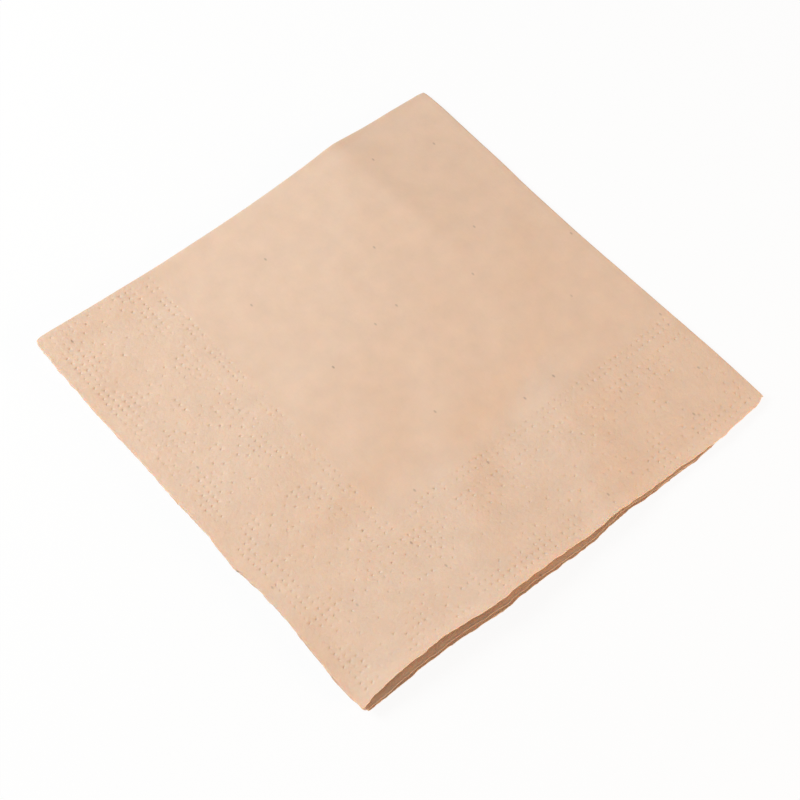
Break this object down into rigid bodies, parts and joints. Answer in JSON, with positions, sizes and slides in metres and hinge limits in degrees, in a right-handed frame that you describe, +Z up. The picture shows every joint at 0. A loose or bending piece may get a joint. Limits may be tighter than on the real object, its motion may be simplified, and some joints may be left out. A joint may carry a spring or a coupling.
{
  "type": "folded paper napkin",
  "caption": "Square paper napkin folded in quarters, lying flat, with an embossed border and a double line along its open sides.",
  "frame": {"origin": "centre of the folded square at the face that it rests on", "axes": "+Z up through the leaves; +X towards the second fold; +Y towards the first fold, so the open corner is at low X and low Y"},
  "size_m": [0.165, 0.165, 0.0069],
  "materials": {
    "paper": "matte unbleached brown tissue, embossed along the open sides"
  },
  "bodies": {
    "root": {"napkin": "paper"}
  },
  "joints": []
}
